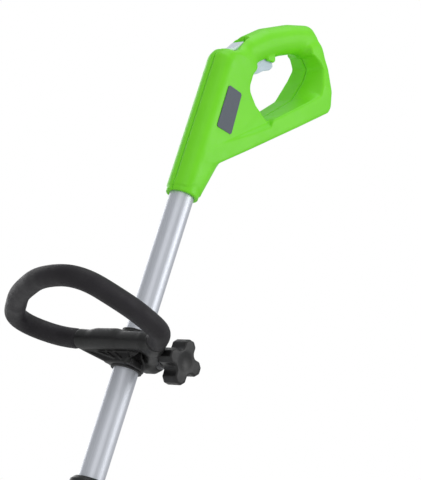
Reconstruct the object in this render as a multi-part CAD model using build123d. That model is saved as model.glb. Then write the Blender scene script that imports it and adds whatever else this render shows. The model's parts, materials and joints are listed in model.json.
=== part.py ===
from build123d import *
from math import cos, pi, radians, sin
import os

# Corded string trimmer. Millimetres. The Z axis is the shaft's axis and +Z runs up to the
# rear handle. +X is the side the D-shaped handle hangs on, -Y is the clamp knob's side.
# The origin is on the shaft axis, half way along the bare stretch of the upper tube.

RUNNING = 0.05          # radial clearance of a shaft or pin in its hole

# Shaft
TUBE_R = 14.0
TUBE_BORE_R = 12.8
TUBE_TOP_Z = 150.0
TUBE_END_Z = -290.0
LOWER_R = 12.5
LOWER_BORE_R = 11.3
LOWER_TOP_Z = -84.0
LOWER_END_Z = -655.0
LEAD_R = 6.5
LEAD_TOP_Z = 146.0
LEAD_END_Z = -636.0

# Rear handle
SOCKET_R = 18.5
SOCKET_Z = 84.0
COLUMN_W = 19.5         # half widths, to each side of the middle plane
ARM_W = 27.0
GRIP_W = 17.0
WALL = 3.0
COLUMN = [(-18.5, 100), (-18.5, 256), (-10, 268), (2, 275), (26, 277), (34, 256), (33, 236),
          (44, 226), (40, 160), (30, 128), (18.5, 104)]
COLUMN_CORNERS = [8, 8, 6, 6, 6, 8, 8, 6, 20, 20, 8]
ARM = [(17, 130), (163, 275), (165, 283), (158, 304), (147, 327), (126, 352), (112, 338),
       (131, 318), (131, 278), (74, 218), (44, 227), (24, 202), (-4, 150), (-4, 122)]
ARM_CORNERS = [6, 4, 10, 20, 20, 8, 6, 12, 12, 6, 4, 10, 10, 6]
GRIP = [(-12, 256), (-8, 268.5), (2, 274), (12, 294), (38, 321), (75, 348), (108, 366),
        (124, 360), (140, 340), (131, 322), (118, 329), (101, 323), (78, 307), (57, 289),
        (40, 272), (26, 256)]
GRIP_CORNERS = [4, 4, 6, 8, 30, 60, 14, 10, 8, 5, 6, 20, 20, 20, 8, 4]
ARM_PLAN = [(-20, 19.0), (17, 20.0), (58, 24.0), (122, ARM_W), (180, ARM_W)]
ARM_BACK = [(50, ARM_W), (300, ARM_W), (352, 16.0)]
SCREW_R = 1.6
SCREW_HEAD_R = 3.4
HEAD_GAP = 0.3          # clearance of a screw head in its recess
INLET_DEPTH = 20.0
INLET_FACE = (40, 26)   # the cup's outer width and height
INLET_SOCKET = (35, 21)
HANDLE_SCREWS = [(-7, 232), (25, 190), (62, 190), (112, 240), (149, 318)]

# Trigger frame: origin under the grip's front, x along the grip's underside
TRIGGER_ORIGIN = (40, 0, 272)
TRIGGER_ANGLE = 41.0
TRIGGER_W = 8.0
TRIGGER_PIN_R = 2.0
TRIGGER_PIVOT = (4.0, 8.0)
TRIGGER_SHAPE = [(-0.5, 2), (-9, -9), (2, -10), (14, -9), (24, -10.5), (31, -8), (31.5, 3),
                 (33, 6), (10, 7.5), (7, 11), (1, 11)]
TRIGGER_CORNERS = [1, 2, 6, 20, 6, 3, 1, 1, 2, 3, 3]
TRIGGER_SLOT = [(-12, -14), (33, -14), (33, 4), (35.5, 9), (35.5, 12), (12, 15), (-4, 15),
                (-7, 4)]
CONTROL_GAP = 0.5       # side clearance of the trigger and the button in their openings

# Lock-off button frame: origin at the front of its channel, x rearwards along it
LOCK_ORIGIN = (-8, 0, 268)
LOCK_ANGLE = 39.0
LOCK_W = 8.0

# Assist handle
SLEEVE_TOP_Z = -83.0
SLEEVE_END_Z = -123.0
SLEEVE_R = 18.5
LINER_R = 15.2
LOOP_Z = -101.0
LOOP_TILT = 3.0
FOAM_R = 11.4
CORE_R = 7.0
BAR_R = 11.0
LOOP = [(57, 24), (85, 47), (92, 100), (83, 177), (20, 172), (-50, 133), (-124, 70),
        (-86, 28), (-58, 25)]
LOOP_CORNERS = [26, 120, 26, 120, 180, 28, 40]
BOLT_X = 21.5
BOLT_Z = -104.0
BOLT_R = 3.0
KNOB_R = 25.0
KNOB_ARM = (24, 17)     # length and width of each lobe
KNOB_FACE_Y = -41.0
KNOB_END_Y = -62.0

# Telescoping collar
COLLAR_TOP_Z = -249.0
COLLAR_R = 22.0
NUT_TOP_Z = -258.0
NUT_END_Z = -315.0
COLLET_Z = (-309.0, -301.0)
NUT_RIBS = 28
MARK_ANGLE = 192.0      # where the arrow and ring sit, about Z from +X

# Cutting head. Its own frame has z along the motor axis, away from the ground,
# and x towards the user.
HEAD_TILT = 45.0
PIVOT_Z = -690.0
PIVOT_IN_HEAD = (34.0, 152.0)
BARREL_R = 20.0
BARREL_W = 20.0
EAR_W = 28.0
PIVOT_R = 5.0
HOUSING_R = 47.0
SHAFT_R = 4.0
SPOOL_HOUSING_R = 46.0
SWATH_R = 164.0
LINE_R = 1.0
LINE_Z = 26.0
LINE_ANGLE = 215.0
GUARD_R = 172.0
GUARD_HALF_ANGLE = 72.0
GUARD_Z = (52.0, 55.0)
SKIRT_Z = 20.0
WHEEL_X = -80.0
WHEEL_R = 22.0

GRIP_SIDE = Plane(origin=TRIGGER_ORIGIN, z_dir=(0, -1, 0),
                  x_dir=(cos(radians(TRIGGER_ANGLE)), 0, sin(radians(TRIGGER_ANGLE))))
LOCK_SIDE = Plane(origin=LOCK_ORIGIN, z_dir=(0, -1, 0),
                  x_dir=(cos(radians(LOCK_ANGLE)), 0, sin(radians(LOCK_ANGLE))))
INLET_MOUTH = Plane(origin=(160.5, 0, 291), x_dir=(0, -1, 0), z_dir=(0.97, 0, 0.243))
LOOP_PLANE = Plane(origin=(0, 0, LOOP_Z), x_dir=(0, -1, 0),
                   z_dir=(-sin(radians(LOOP_TILT)), 0, -cos(radians(LOOP_TILT))))
HEAD_SIN = sin(radians(HEAD_TILT))
HEAD_COS = cos(radians(HEAD_TILT))
HEAD_X = (HEAD_COS, 0, HEAD_SIN)
HEAD_Z = (-HEAD_SIN, 0, HEAD_COS)
HEAD_ORIGIN = (-PIVOT_IN_HEAD[0] * HEAD_COS + PIVOT_IN_HEAD[1] * HEAD_SIN, 0,
               PIVOT_Z - PIVOT_IN_HEAD[0] * HEAD_SIN - PIVOT_IN_HEAD[1] * HEAD_COS)
HEAD = Plane(origin=HEAD_ORIGIN, x_dir=HEAD_X, z_dir=HEAD_Z)


def side_block(points, corners, half_width, inset=0.0, plane=Plane.XZ):
    """Closed side outline with rounded corners, equally thick to both sides of the plane."""
    face = make_face(FilletPolyline(*points, radius=corners, close=True))
    if inset:
        face = offset(face, -inset)
    return extrude(plane * face, amount=half_width, both=True)


def ring(outer, inner, low, high):
    """Round ring, or disc, about the Z axis between two heights."""
    flat = Circle(outer)
    if inner:
        flat -= Circle(inner)
    return extrude(Pos(0, 0, low) * flat, amount=high - low)


def turned(points):
    """Solid of revolution about Z from (radius, height) points."""
    return revolve(Plane.XZ * make_face(Polyline(*points, close=True)), Axis.Z)


def rod(radius, x, z, low_y, high_y):
    """Round rod along Y."""
    return extrude(Plane.XZ.offset(-high_y) * Pos(x, z) * Circle(radius), amount=high_y - low_y)


def box(low, high):
    """Box between two corners."""
    size = [b - a for a, b in zip(low, high)]
    middle = [(a + b) / 2 for a, b in zip(low, high)]
    return Pos(*middle) * Box(*size)


def in_head(shape):
    """Places a shape drawn in the cutting head's own frame."""
    return HEAD.location * shape


def half(shape, side):
    """The part of a shape to one side of the middle plane: -1 is the knob's side."""
    return shape & box((-400, min(0, side * 400), -1000), (400, max(0, side * 400), 500))


def coil_spring(pitch, height, radius, wire_radius):
    """Round wire wound along Z."""
    coil = Helix(pitch=pitch, height=height, radius=radius)
    start = Plane(origin=coil @ 0, z_dir=coil % 0)
    return sweep(start * Circle(wire_radius), path=coil, is_frenet=True)


def swept(path, radius):
    """Round bar along a path."""
    start = Plane(origin=path @ 0, z_dir=path % 0)
    return sweep(start * Circle(radius), path=path)


# ---------------------------------------------------------------- rear handle

def arm_taper():
    """Block whose width, seen from above, grows rearwards as the arm's does."""
    outline = ARM_PLAN + [(x, -y) for x, y in reversed(ARM_PLAN)]
    return extrude(Pos(0, 0, 50) * make_face(Polyline(*outline, close=True)), amount=400)


def back_taper(inset=0.0):
    """Block that narrows upwards, seen from behind, as the arm's rear wall does."""
    edge = [(y - inset, z) for z, y in ARM_BACK]
    outline = edge + [(-y, z) for y, z in reversed(edge)]
    return extrude(Plane.YZ.offset(-50) * make_face(Polyline(*outline, close=True)), amount=300)


def lead_paths():
    """Middle lines of the two inner leads: inlet to switch, and switch to tube."""
    rear = FilletPolyline((147.4, 0, 301.8), (143, 0, 318), (132, 0, 338), (112, 0, 345),
                          (80, 0, 328), (57.8, 0, 312.2), radius=[20, 12, 16, 30])
    front = FilletPolyline((37.3, 0, 294), (31, 0, 286), (26, 0, 272), (21, 0, 250),
                           (2, 0, 210), (0, 0, LEAD_TOP_Z + 1), radius=[10, 20, 20, 30])
    return [rear, front]


def inlet_block(width, height, depth, start=0.0):
    """Rounded block in the cord inlet's place in the rear wall, pushed in from outside."""
    face = INLET_MOUTH.offset(-start) * RectangleRounded(width, height, 4)
    return extrude(face, amount=-depth)


def trigger_slot():
    """Space in the grip's underside that the trigger moves in."""
    return extrude(GRIP_SIDE * make_face(Polyline(*TRIGGER_SLOT, close=True)),
                   amount=TRIGGER_W + CONTROL_GAP, both=True)


def lock_channel():
    """Channel for the lock-off button, with the slot in its floor."""
    outline = [(-0.5, -4.5), (35.5, -4.5), (39, 16), (-0.5, 16)]
    channel = extrude(LOCK_SIDE * make_face(Polyline(*outline, close=True)),
                      amount=LOCK_W + CONTROL_GAP, both=True)
    slot = LOCK_SIDE * Pos(17, -8, 0) * Box(26, 16, 5)
    return channel + slot


def handle_shells():
    """Two moulded shells with their screw bosses, split along the middle plane."""
    arm = side_block(ARM, ARM_CORNERS, ARM_W) & arm_taper() & back_taper()
    column = side_block(COLUMN, COLUMN_CORNERS, COLUMN_W)
    grip = side_block(GRIP, GRIP_CORNERS, GRIP_W)
    column = chamfer(column.faces().sort_by(Axis.Y)[0].edges(), 4)
    column = chamfer(column.faces().sort_by(Axis.Y)[-1].edges(), 4)
    grip = fillet(grip.faces().sort_by(Axis.Y)[0].edges(), 4)
    grip = fillet(grip.faces().sort_by(Axis.Y)[-1].edges(), 4)
    socket = ring(SOCKET_R, 0, SOCKET_Z, 150)
    outer = column + arm + grip + socket
    hollow = side_block(COLUMN, COLUMN_CORNERS, COLUMN_W - WALL, WALL)
    hollow &= box((-100, -100, TUBE_TOP_Z + 4), (200, 100, 400))
    hollow += side_block(ARM, ARM_CORNERS, 17.5, WALL) & back_taper(WALL)
    hollow += side_block(GRIP, GRIP_CORNERS, GRIP_W - WALL, WALL)
    for x, z in HANDLE_SCREWS:
        hollow -= rod(4.5, x, z, -30, 30)
    body = outer - hollow
    body -= ring(TUBE_R, 0, SOCKET_Z - 1, TUBE_TOP_Z)
    for path in lead_paths():
        body -= swept(path, 3.5)
    for x, z in HANDLE_SCREWS:
        body -= rod(SCREW_R + RUNNING, x, z, -14, 30)
        body -= rod(SCREW_HEAD_R + HEAD_GAP, x, z, 14, 30)
    body -= inlet_block(*INLET_FACE, INLET_DEPTH + 8, -8)
    for badge in badges():
        body -= badge
    body -= trigger_slot()
    body -= lock_channel()
    body -= switch_block(0.2)
    body -= rod(TRIGGER_PIN_R, *pivot_point(), -12, 12)
    return half(body, -1), half(body, 1)


def screws_in(places, head_y, length):
    """Pan-head screws pushed in along -Y."""
    return [rod(SCREW_HEAD_R, x, z, head_y, head_y + 2.2)
            + rod(SCREW_R, x, z, head_y - length, head_y) for x, z in places]


def badges():
    """Plain slanted badge on each side of the column."""
    outline = [(-1, 223), (22, 224), (25, 173), (0, 171)]
    face = make_face(FilletPolyline(*outline, radius=3, close=True))
    near = extrude(Plane.XZ.offset(COLUMN_W) * face, amount=0.8)
    return [near, mirror(near, Plane.XZ)]


def cord_inlet():
    """Moulded cup that the extension lead's socket pushes into."""
    cup = inlet_block(*INLET_FACE, INLET_DEPTH - 1, 1)
    return cup - inlet_block(*INLET_SOCKET, INLET_DEPTH + 3, -5)


def inlet_blades():
    """Two flat contact blades on the inlet's floor."""
    return [INLET_MOUTH * Pos(x, 0, -11.5) * Box(1.5, 6.3, 13) for x in (-6.35, 6.35)]


def pivot_point():
    """Trigger pivot in x and z."""
    at = GRIP_SIDE.from_local_coords((*TRIGGER_PIVOT, 0))
    return at.X, at.Z


def trigger():
    """Finger lever with its pivot hole."""
    lever = side_block(TRIGGER_SHAPE, TRIGGER_CORNERS, TRIGGER_W, plane=GRIP_SIDE)
    lever = fillet(lever.faces().sort_by(Axis.Y)[0].edges(), 0.8)
    lever = fillet(lever.faces().sort_by(Axis.Y)[-1].edges(), 0.8)
    return lever - rod(TRIGGER_PIN_R + RUNNING, *pivot_point(), -20, 20)


def trigger_spring():
    """Torsion spring beside the trigger's hub, round its pin."""
    x, z = pivot_point()
    return Pos(x, 12.4, z) * Rot(90, 0, 0) * coil_spring(1.3, 2.6, 3.2, 0.5)


def switch_block(gap=0.0):
    """Outer block of the switch."""
    return GRIP_SIDE * Pos(26, 18.5, 0) * Box(26 + 2 * gap, 9 + 2 * gap, 20 + 2 * gap)


def switch_body():
    """Switch with the well that its plunger moves in."""
    return switch_block() - GRIP_SIDE * Pos(26, 16, 0) * Rot(90, 0, 0) * Cylinder(2.6, 12)


def switch_plunger():
    """Plunger that the trigger presses."""
    return GRIP_SIDE * Pos(26, 13.1, 0) * Rot(90, 0, 0) * Cylinder(2.5, 9)


def lock_off_button():
    """Thumb slider with a raised rear lip, a stem and a keeper under the floor."""
    outline = [(0, -4), (27, -4), (27.5, 3.4), (24, 2.6), (16, -0.6), (8, -1.4), (0, -0.6)]
    cap = side_block(outline, [0.4, 0.4, 1, 3, 12, 12, 0.4], LOCK_W, plane=LOCK_SIDE)
    stem = LOCK_SIDE * Pos(12, -8, 0) * Box(10, 9, 4.2)
    keeper = LOCK_SIDE * Pos(12, -13.5, 0) * Box(12, 3, 9)
    return cap + stem + keeper


def lock_off_spring():
    """Small return spring behind the button's keeper."""
    return LOCK_SIDE * Pos(25.6, -12.6, 0) * Rot(0, 90, 0) * coil_spring(1.2, 4.0, 1.8, 0.4)


# ---------------------------------------------------------------- shaft and collar

def collar_nut():
    """Twist-lock nut with grip ribs."""
    nut = ring(COLLAR_R, 17.3, -310, NUT_TOP_Z) + ring(COLLAR_R, LOWER_R + 0.5, NUT_END_Z, -310)
    nut = chamfer(nut.edges().filter_by(GeomType.CIRCLE).group_by(Axis.Z)[0].sort_by(
        SortBy.RADIUS)[-1], 2)
    for i in range(NUT_RIBS):
        turn = 360.0 * i / NUT_RIBS
        if abs((turn - MARK_ANGLE + 180) % 360 - 180) > 40:
            nut -= Rot(0, 0, turn) * Pos(COLLAR_R + 0.4, 0, -288) * Cylinder(1.3, 46)
    return nut


def collar_marks():
    """Raised arrow on the collar's base and ring on the nut, in pale plastic."""
    arrow = make_face(Polyline((-8, -1.1), (2.5, -1.1), (2.5, -2.6), (8, 0), (2.5, 2.6),
                               (2.5, 1.1), (-8, 1.1), close=True))
    badge = Circle(4.5) - Circle(3.0)
    skin = ring(COLLAR_R + 0.25, COLLAR_R, NUT_END_Z, NUT_TOP_Z)
    facing = Plane(origin=(0, 0, 0), x_dir=(0, -1, 0), z_dir=(-1, 0, 0))
    made = []
    for flat, height in ((arrow, NUT_TOP_Z - 4.5), (badge, NUT_TOP_Z - 14)):
        stamp = extrude(facing * Pos(0, height, 0) * flat, amount=40)
        made.append(Rot(0, 0, MARK_ANGLE - 180) * (stamp & skin))
    return made


def coupler_base():
    """Fixed half of the collar, on the end of the upper tube."""
    return turned([(TUBE_R, COLLAR_TOP_Z), (COLLAR_R - 4, COLLAR_TOP_Z),
                   (COLLAR_R - 0.4, -253), (COLLAR_R - 0.4, NUT_TOP_Z + 0.4),
                   (17, NUT_TOP_Z + 0.4), (17, -300), (LOWER_R + 0.5, -300),
                   (LOWER_R + 0.5, TUBE_END_Z), (TUBE_R, TUBE_END_Z)])


def telescope_bush():
    """Plastic bush that guides the lower tube's top end inside the upper tube."""
    return turned([(8, -104), (LOWER_BORE_R, -104), (LOWER_BORE_R, LOWER_TOP_Z),
                   (TUBE_BORE_R - RUNNING, LOWER_TOP_Z), (TUBE_BORE_R - RUNNING, -76),
                   (8, -76)])


# ---------------------------------------------------------------- assist handle

def loop_path(extra=0.0):
    """Middle line of the loop, run on straight at both ends by a given length."""
    line = FilletPolyline(*LOOP, radius=LOOP_CORNERS)
    if extra:
        first = Line(Vector(*LOOP[0]) - (line % 0) * extra, Vector(*LOOP[0]))
        last = Line(Vector(*LOOP[-1]), Vector(*LOOP[-1]) + (line % 1) * extra)
        line = Wire([first, *line.edges(), last])
    return LOOP_PLANE * line


def loop_tube(radius, extra=0.0):
    """Round bar along the loop."""
    return swept(loop_path(extra), radius)


def assist_bracket():
    """Moulded clamp: split sleeve, bar across the shaft, web, lugs and the loop's sockets."""
    bar = swept(LOOP_PLANE * FilletPolyline((-57.9, 25), (-40, 23.2), (38, 22.4), (48, 17.2),
                                            radius=[40, 12]), BAR_R)
    socket = swept(LOOP_PLANE * Line(Vector(57, 24) - Vector(0.773, 0.635) * 12,
                                     Vector(57, 24) - Vector(0.773, 0.635) * 0.1), BAR_R)
    sleeve = ring(SLEEVE_R, 0, SLEEVE_END_Z, SLEEVE_TOP_Z)
    lugs = box((8, -23, -118), (30, 23, -90))
    lugs = fillet(lugs.edges().filter_by(Axis.Y).sort_by(Axis.X)[-2:], 8)
    web = make_face(Polyline((-56, -104), (-56, -110.5), (-14, SLEEVE_END_Z),
                             (14, SLEEVE_END_Z), (26, -110), (26, -100), (-56, -100), close=True))
    web = extrude(Plane(origin=(-17, 0, 0), x_dir=(0, -1, 0), z_dir=(-1, 0, 0)) * web, amount=4)
    floor_web = box((-30, 22, -104), (-14, 54, -101))
    ribs = [box((-30, y, -112), (-16, y + 2.5, -100)) for y in (19, 28, 37)]
    near_web = box((-26, -38, -106), (8, -18, -98))
    body = bar + socket + sleeve + lugs + web + floor_web + near_web
    for rib in ribs:
        body += rib
    body -= ring(LINER_R + RUNNING, 0, -140, -60)
    body -= box((5, -4, -140), (60, 4, -60))
    body -= rod(BOLT_R + RUNNING, BOLT_X, BOLT_Z, -40, 40)
    body -= extrude(Plane.XZ.offset(-40) * Pos(BOLT_X, BOLT_Z) * RegularPolygon(6.2, 6),
                    amount=22.5)
    return body - loop_tube(CORE_R, 8)


def clamp_liner():
    """Flanged split liner that the bracket turns on."""
    body = ring(LINER_R, TUBE_R + RUNNING, SLEEVE_END_Z - 0.3, SLEEVE_TOP_Z + 0.3)
    body += ring(17.2, TUBE_R + RUNNING, SLEEVE_TOP_Z + 0.3, SLEEVE_TOP_Z + 1.8)
    body += ring(17.2, TUBE_R + RUNNING, SLEEVE_END_Z - 1.8, SLEEVE_END_Z - 0.3)
    return body - box((5, -1.2, -140), (60, 1.2, -60))


def clamp_bolt():
    """Hexagon-head bolt across the lugs, its thread's end inside the knob."""
    head = extrude(Plane.XZ.offset(-21.5) * Pos(BOLT_X, BOLT_Z) * RegularPolygon(6.0, 6),
                   amount=4)
    return head + rod(BOLT_R, BOLT_X, BOLT_Z, -55, 17.5)


def clamp_knob():
    """Four-lobed star knob with a hub."""
    lobes = Circle(13)
    for i in range(4):
        arm = Pos(KNOB_R - KNOB_ARM[0] / 2, 0) * RectangleRounded(*KNOB_ARM, 5)
        lobes += Rot(0, 0, 90 * i) * arm
    star = extrude(Plane.XZ.offset(-KNOB_FACE_Y) * Pos(BOLT_X, BOLT_Z) * lobes,
                   amount=KNOB_FACE_Y - KNOB_END_Y)
    star = chamfer(star.faces().sort_by(Axis.Y)[0].edges(), 1.6)
    knob = star + rod(8, BOLT_X, BOLT_Z, KNOB_FACE_Y, -30)
    knob -= rod(6, BOLT_X, BOLT_Z, -57.5, -42)
    return knob - rod(BOLT_R + 0.4, BOLT_X, BOLT_Z, -42, -29)


# ---------------------------------------------------------------- cutting head

def pivot_knuckle():
    """Socket for the lower tube with the cross barrel that the head turns on."""
    barrel = rod(BARREL_R, 0, PIVOT_Z, -BARREL_W, BARREL_W)
    socket = ring(16.5, 0, PIVOT_Z, -640)
    body = barrel + socket - ring(LOWER_R, 0, LOWER_END_Z, -600)
    return body - rod(PIVOT_R, 0, PIVOT_Z, -40, 40)


def pivot_pin():
    """Hinge pin, hollow at the button's end."""
    return rod(PIVOT_R, 0, PIVOT_Z, -22.5, 27) - rod(3.3, 0, PIVOT_Z, -23, -6)


def pivot_button():
    """Round release button in the ear."""
    return rod(12, 0, PIVOT_Z, -31.5, -27.3) + rod(3, 0, PIVOT_Z, -27.3, -14)


def pivot_spring():
    """Button spring in the pin's hollow end, drawn at its pressed length."""
    return Pos(0, -6.6, PIVOT_Z) * Rot(90, 0, 0) * coil_spring(1.1, 2.2, 2.4, 0.4)


def housing_screw_places():
    """Screws across the top of the motor housing, in the head's frame."""
    return [(-30, 111.5), (30, 111.5)]


def motor_housings():
    """Motor housing with its pivot ears, split into two halves."""
    shell = turned([(0, 123), (36, 123), (44, 111), (44, 66), (44, 58), (50, 58), (50, 64),
                    (HOUSING_R, 67), (HOUSING_R, 112), (38, 126), (0, 126)])
    shell += ring(12, 9, 115, 123.5)
    ear_side = make_face(Polyline((4, 112), (14.5, 150), (53.5, 156), (44, 104), close=True))
    ear_side += Pos(*PIVOT_IN_HEAD) * Circle(BARREL_R)
    ear = extrude(Plane.XZ.offset(BARREL_W + 0.4) * ear_side, amount=EAR_W - BARREL_W - 0.4)
    for x, z in housing_screw_places():
        shell += rod(3.8, x, z, -30, 30)
    body = shell + ear + mirror(ear, Plane.XZ)
    body -= ring(44, 12.5, 59, 107)
    body -= rod(PIVOT_R + RUNNING, *PIVOT_IN_HEAD, -60, 60)
    body -= rod(12.4, *PIVOT_IN_HEAD, -60, -23)
    for x, z in housing_screw_places():
        body -= rod(SCREW_R + RUNNING, x, z, -20, 60)
        body -= rod(SCREW_HEAD_R + HEAD_GAP, x, z, 24, 60)
    for i in range(9):
        for height in (72, 98):
            slot = Pos(HOUSING_R, 0, height) * Box(12, 3.2, 12)
            body -= Rot(0, 0, 100 + 20 * i) * slot
    body = in_head(body)
    return half(body, -1), half(body, 1)


def motor_base():
    """Plate that closes the housing and holds the lower bearing and the guard."""
    base = ring(50, 9, 55, 58) + ring(13, 9, 50, 58)
    for x, y in guard_screw_places():
        base += Pos(x, y, 58.5) * Cylinder(4.5, 7)
    for x, y in guard_screw_places():
        base -= Pos(x, y, 57.5) * Cylinder(2 + RUNNING, 7)
    return base


def guard_screw_places():
    """Three screws up through the guard, in the head's frame."""
    return [(38.5 * cos(radians(a)), 38.5 * sin(radians(a))) for a in (90, 210, 330)]


def guard_screws():
    """Screws that hold guard, plate and housing together."""
    return [Pos(x, y, 50.9) * Cylinder(4, 2.2) + Pos(x, y, 56) * Cylinder(2, 8)
            for x, y in guard_screw_places()]


def armature():
    """Motor shaft with its wound core and commutator."""
    shaft = ring(SHAFT_R, 0, 20, 121.5)
    return shaft + ring(24, 0, 76, 101) + ring(17, 0, 70, 76) + ring(11, 0, 104, 113)


def cooling_fan():
    """Fan disc with straight blades."""
    fan = ring(31, SHAFT_R, 60.5, 62) + ring(9, SHAFT_R, 60.5, 68)
    for i in range(12):
        fan += Rot(0, 0, 30 * i) * Pos(20, 0, 64.5) * Box(21, 1.4, 6)
    return fan


def brush_parts():
    """Carbon brushes against the commutator, and their holders."""
    brushes = [Pos(s * 17.3, 0, 108.5) * Box(12, 6, 6) for s in (-1, 1)]
    holders = []
    for side in (-1, 1):
        guide = Pos(side * 18.5, 0, 108.5) * (Box(11, 10, 6.8) - Box(20, 6, 6))
        foot = Pos(side * 27, 0, 103.2) * Box(14, 10, 4.4)
        holders.append(guide + foot)
    return brushes, holders


def spool_housing():
    """Spinning cup with its centre post, open below."""
    cup = turned([(SHAFT_R, 12), (7.5, 12), (7.5, 42), (43, 42), (43, 10.2),
                  (SPOOL_HOUSING_R, 10.2), (SPOOL_HOUSING_R, 40), (41, 46), (9, 46),
                  (8, 49.6), (SHAFT_R, 49.6)])
    cup -= ring(SHAFT_R + 0.01, 0, 0, 12)
    return cup - radial_rod(3.0, 40, 50)


def radial_rod(radius, start, end):
    """Rod along the cutting line's direction at the line's height."""
    face = Plane(origin=(start, 0, LINE_Z), z_dir=(1, 0, 0)) * Circle(radius)
    return Rot(0, 0, LINE_ANGLE) * extrude(face, amount=end - start)


def spool():
    """Flanged reel that turns on the cup's post."""
    return turned([(7.5 + RUNNING, 12.5), (40, 12.5), (40, 14.5), (15, 14.5), (15, 36),
                   (40, 36), (40, 38), (7.5 + RUNNING, 38)])


def wound_line():
    """Line wound on the reel, as one closed body with turns pressed in its outside."""
    turns = 9
    step = (35.5 - 15) / turns
    outline = [(15, 15), (30, 15)]
    for i in range(turns):
        outline += [(31, 15 + step * (i + 0.5)), (30, 15 + step * (i + 1))]
    return turned(outline + [(15, 35.5)])


def spool_spring():
    """Spring between the cup's roof and the reel."""
    return Pos(0, 0, 39) * coil_spring(1.6, 2.2, 12, 0.6)


def spool_cap():
    """Cap that closes the cup: a flat tap face with finger grips round it."""
    cap = turned([(0, 0), (30, 0), (44, 5), (46, 10), (42.5, 10), (42.5, 11.8), (10, 11.8),
                  (10, 5), (0, 5)])
    for i in range(6):
        cap -= Rot(0, 0, 60 * i) * Pos(45, 0, 1.5) * Cylinder(7, 6)
    return cap


def sector(outer, inner, low, high, half_angle):
    """Part of a ring, opened to both sides of the head's +X."""
    far = 3 * outer
    wedge = make_face(Polyline((0, 0), (far * cos(radians(half_angle)),
                                        far * sin(radians(half_angle))), (far, 0),
                               (far * cos(radians(half_angle)),
                                -far * sin(radians(half_angle))), close=True))
    return ring(outer, inner, low, high) & extrude(Pos(0, 0, low - 1) * wedge,
                                                   amount=high - low + 2)


def guard():
    """Debris guard: a plate towards the user with a skirt round its edge and two ribs."""
    low, high = GUARD_Z
    body = ring(50, 13.5, low, high)
    body += sector(GUARD_R, 40, low, high, GUARD_HALF_ANGLE)
    body += sector(GUARD_R, GUARD_R - 3, SKIRT_Z, high, GUARD_HALF_ANGLE)
    body += sector(150, 100, high, high + 3, 40) - sector(147, 103, high - 1, high + 4, 38)
    for x, y in guard_screw_places():
        body -= Pos(x, y, 53) * Cylinder(2 + RUNNING, 8)
    return body


def cutoff_blade():
    """Steel blade at the guard's edge that trims the line to length."""
    blade = Pos(SWATH_R + 3, 7.5, 28) * Box(3.6, 15, 14)
    blade = Rot(0, 0, -GUARD_HALF_ANGLE) * blade
    return blade - ring(GUARD_R, GUARD_R - 3, 10, 60)


def wheel_bracket():
    """Fork on the front of the housing for the edging wheel."""
    back = box((-56, -13, 68), (-44, 13, 94))
    arms = box((WHEEL_X - 8, -7, 68), (-50, 7, 72)) + box((WHEEL_X - 8, -7, 90), (-50, 7, 94))
    body = back + arms - ring(HOUSING_R, 0, 60, 100)
    return body - Pos(WHEEL_X, 0, 80) * Cylinder(3, 40)


def edge_wheel():
    """Grooved guide wheel."""
    return Pos(WHEEL_X, 0, 0) * turned([(3 + RUNNING, 75), (7, 74), (7, 77), (17, 78),
                                        (19, 75), (WHEEL_R, 76), (WHEEL_R, 86), (19, 87),
                                        (17, 84), (7, 85), (7, 88), (3 + RUNNING, 87)])


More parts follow.
